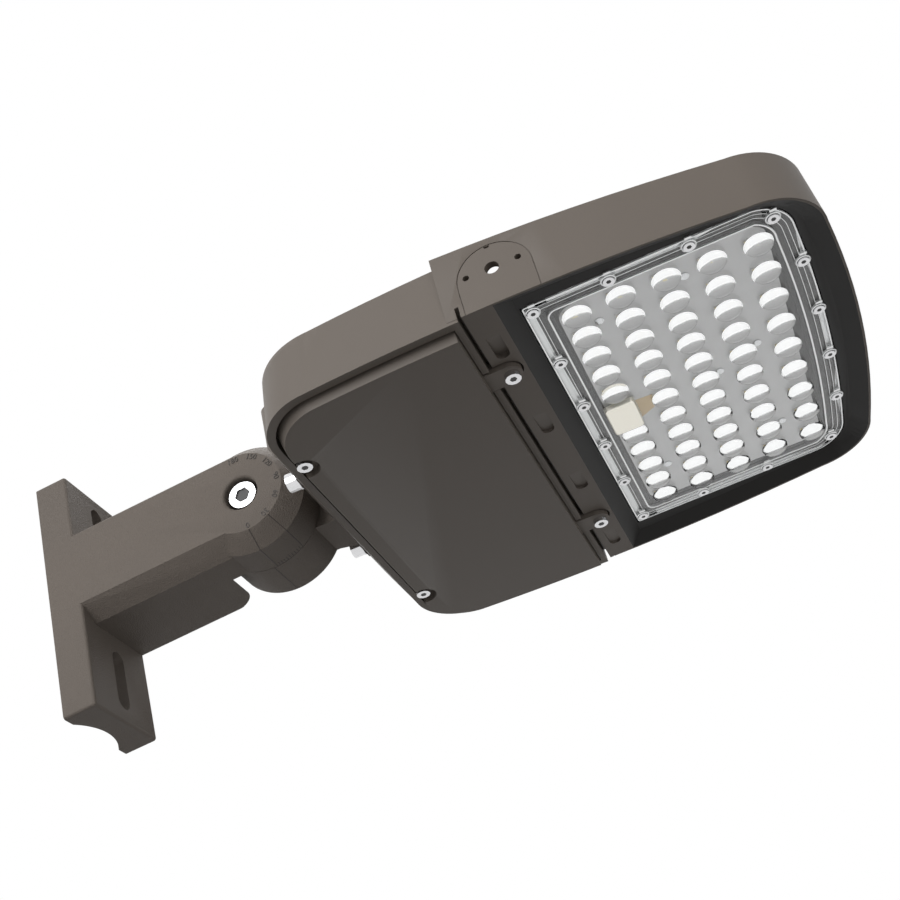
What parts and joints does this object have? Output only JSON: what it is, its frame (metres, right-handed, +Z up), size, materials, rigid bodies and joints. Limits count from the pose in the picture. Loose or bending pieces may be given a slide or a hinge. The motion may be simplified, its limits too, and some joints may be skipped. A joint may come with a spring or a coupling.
{
  "type": "shoebox area light",
  "caption": "Flat rectangular area light on a tilting cast arm with a slotted pole plate, a driver bay and a finned lamp tray behind a domed lens plate.",
  "frame": {"origin": "middle of the slot pattern on the back of the pole plate", "axes": "+X out from the pole towards the nose, +Y to the left of the nose, +Z up"},
  "size_m": [0.4538, 0.2546, 0.152],
  "materials": {
    "bracket_coat": "textured bronze powder coat",
    "head_coat": "smooth bronze powder coat",
    "bolt_steel": "stainless",
    "lens": "clear moulded",
    "board": "white solder mask",
    "lamp": "phosphor",
    "connector": "moulded",
    "driver_case": "satin",
    "black_plastic": "moulded",
    "seal": "matt"
  },
  "bodies": {
    "bracket": {"arm_bracket": "bracket_coat", "pivot_bolt": "bolt_steel", "pivot_washer": "bolt_steel", "pivot_spring_washer": "bolt_steel"},
    "head": {"knuckle": "bracket_coat", "pivot_nut": "bolt_steel", "knuckle_gasket": "seal", "knuckle_washers": "bolt_steel", "knuckle_bolts": "bolt_steel", "housing": "head_coat", "driver_cover": "head_coat", "driver_cover_gasket": "seal", "cover_screws": "bolt_steel", "lens_plate": "lens", "lens_gasket": "seal", "lens_screws": "bolt_steel", "led_board": "board", "board_screws": "bolt_steel", "led_packages": "lamp", "board_connector": "connector", "led_driver": "driver_case", "driver_screws": "bolt_steel", "surge_protector": "black_plastic", "terminal_block": "connector"}
  },
  "joints": [
    {"name": "head_tilt", "type": "hinge", "parent": "bracket", "child": "head", "pos_m": [0.1225, 0, 0.0075], "axis": [0, 1, 0], "range_deg": [-93.75, 86.25]}
  ]
}
